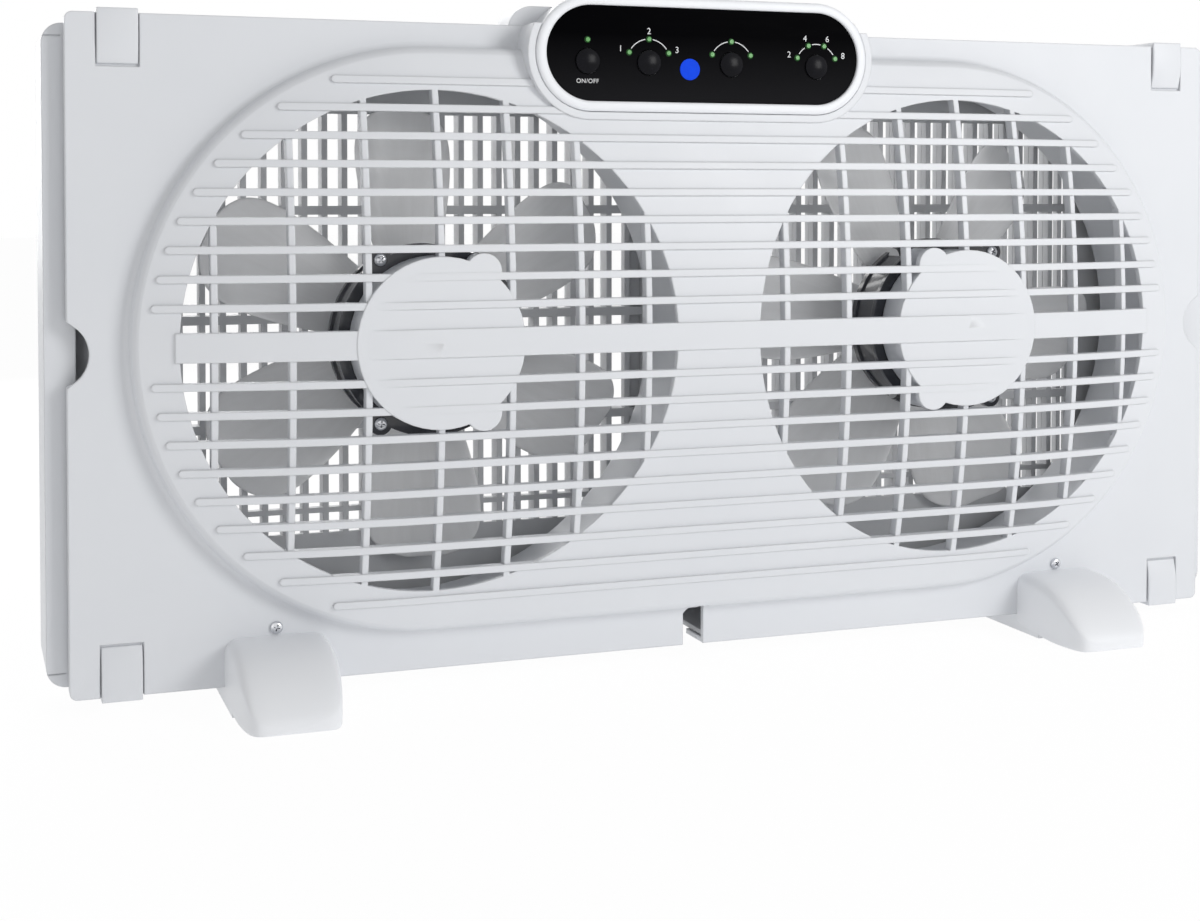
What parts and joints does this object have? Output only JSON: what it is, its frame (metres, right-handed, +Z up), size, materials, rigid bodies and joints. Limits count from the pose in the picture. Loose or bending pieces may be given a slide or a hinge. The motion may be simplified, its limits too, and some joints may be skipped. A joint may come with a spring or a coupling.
{
  "type": "window fan",
  "caption": "Twin window fan: flat panel with a long domed grille over two bladed fans, a control strip on top, screw-on feet and a sliding slatted screen at each side.",
  "frame": {"origin": "on the ground plane under the middle of the object's bounding box", "axes": "+X to the right seen from the front (the panel's width), +Y to the rear (the room side with the controls faces -Y), +Z up"},
  "size_m": [0.631, 0.116, 0.3332],
  "materials": {
    "shell_plastic": "satin moulded ABS",
    "motor_black": "glossy",
    "steel": "bright plated",
    "blade_plastic": "satin",
    "screen_plastic": "satin",
    "label_black": "glossy",
    "receiver_blue": "tinted, glossy",
    "light_green": "tinted",
    "board": "varnished board",
    "switch_black": "moulded",
    "button_black": "satin domed caps"
  },
  "bodies": {
    "housing": {"front_shell": "shell_plastic", "rear_shell": "shell_plastic", "left_motor": "motor_black", "right_motor": "motor_black", "motor_screws": "steel", "control_bezel": "shell_plastic", "control_label": "label_black", "receiver_window": "receiver_blue", "indicator_lights": "light_green", "control_board": "board", "button_switches": "switch_black", "top_clips": "shell_plastic", "bottom_clips": "shell_plastic", "left_foot": "shell_plastic", "right_foot": "shell_plastic", "foot_screws": "steel", "housing_screws": "steel", "cord_bushing": "shell_plastic"},
    "left_fan": {"left_impeller": "blade_plastic", "left_shaft": "steel", "left_hub_nut": "blade_plastic"},
    "right_fan": {"right_impeller": "blade_plastic", "right_shaft": "steel", "right_hub_nut": "blade_plastic"},
    "left_extender": {"left_screen": "screen_plastic", "left_end_strip": "shell_plastic"},
    "right_extender": {"right_screen": "screen_plastic", "right_end_strip": "shell_plastic"},
    "power_key": {"power_button": "button_black"},
    "speed_key": {"speed_button": "button_black"},
    "function_key": {"function_button": "button_black"},
    "timer_key": {"timer_button": "button_black"}
  },
  "joints": [
    {"name": "left_fan_spin", "type": "hinge", "parent": "housing", "child": "left_fan", "pos_m": [-0.14, 0.006, 0.168], "axis": [0, 1, 0], "continuous": true},
    {"name": "right_fan_spin", "type": "hinge", "parent": "housing", "child": "right_fan", "pos_m": [0.14, 0.006, 0.168], "axis": [0, 1, 0], "continuous": true},
    {"name": "left_extender_slide", "type": "slide", "parent": "housing", "child": "left_extender", "axis": [-1, 0, 0], "range_m": [0, 0.16]},
    {"name": "right_extender_slide", "type": "slide", "parent": "housing", "child": "right_extender", "axis": [1, 0, 0], "range_m": [0, 0.16]},
    {"name": "power_press", "type": "slide", "parent": "housing", "child": "power_key", "axis": [0, 1, 0], "range_m": [0, 0.0012], "stiffness_N_per_m": 400},
    {"name": "speed_press", "type": "slide", "parent": "housing", "child": "speed_key", "axis": [0, 1, 0], "range_m": [0, 0.0012], "stiffness_N_per_m": 400},
    {"name": "function_press", "type": "slide", "parent": "housing", "child": "function_key", "axis": [0, 1, 0], "range_m": [0, 0.0012], "stiffness_N_per_m": 400},
    {"name": "timer_press", "type": "slide", "parent": "housing", "child": "timer_key", "axis": [0, 1, 0], "range_m": [0, 0.0012], "stiffness_N_per_m": 400}
  ]
}
